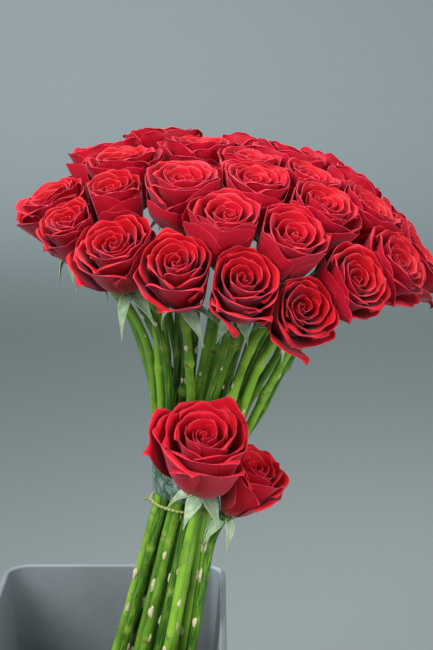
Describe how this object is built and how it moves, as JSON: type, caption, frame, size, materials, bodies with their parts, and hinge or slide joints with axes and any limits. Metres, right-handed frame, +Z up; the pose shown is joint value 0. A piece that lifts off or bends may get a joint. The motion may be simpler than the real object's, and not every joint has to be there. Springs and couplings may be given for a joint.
{
  "type": "roses in a vase",
  "caption": "Domed hand-tied bunch of long-stemmed red roses with two short roses at the tie, leaning in a square tapered bucket of water.",
  "frame": {"origin": "middle of the flat underside of the vase", "axes": "+Z up; +X to the right in the picture, the way the bunch leans; +Y away from the camera"},
  "size_m": [0.3861, 0.302, 0.6707],
  "materials": {
    "petals": "velvety satin petal",
    "petals_short": "velvety satin petal",
    "stems": "smooth green rind",
    "stems_inner": "smooth green rind, shaded",
    "bucket_plastic": "satin moulded plastic",
    "water": "clear, faintly green",
    "clear_film": "clear crinkled film",
    "tie_band": "thin matt band"
  },
  "bodies": {
    "root": {"bloom_01": "petals", "bloom_02": "petals", "bloom_03": "petals", "bloom_04": "petals", "bloom_05": "petals", "bloom_06": "petals", "bloom_07": "petals", "bloom_08": "petals", "bloom_09": "petals", "bloom_10": "petals", "bloom_11": "petals", "bloom_12": "petals", "bloom_13": "petals", "bloom_14": "petals", "bloom_15": "petals", "bloom_16": "petals", "bloom_17": "petals", "bloom_18": "petals", "bloom_19": "petals", "bloom_20": "petals", "bloom_21": "petals", "bloom_22": "petals", "bloom_23": "petals", "bloom_24": "petals", "bloom_25": "petals", "bloom_26": "petals", "bloom_27": "petals", "bloom_28": "petals", "bloom_29": "petals", "bloom_30": "petals", "bloom_31": "petals", "bloom_32": "petals", "bloom_33": "petals", "film_wrap": "clear_film", "inner_stems": "stems_inner", "short_bloom_1": "petals_short", "short_bloom_2": "petals_short", "short_stem_1": "stems", "short_stem_2": "stems", "stem_01": "stems", "stem_02": "stems", "stem_03": "stems", "stem_04": "stems", "stem_05": "stems", "stem_06": "stems", "stem_07": "stems", "stem_08": "stems", "stem_09": "stems", "stem_10": "stems", "stem_17": "stems", "stem_22": "stems", "stem_23": "stems", "stem_26": "stems", "stem_28": "stems", "stem_30": "stems", "stem_31": "stems", "stem_32": "stems", "tie_band": "tie_band", "vase": "bucket_plastic", "water": "water"}
  },
  "joints": []
}
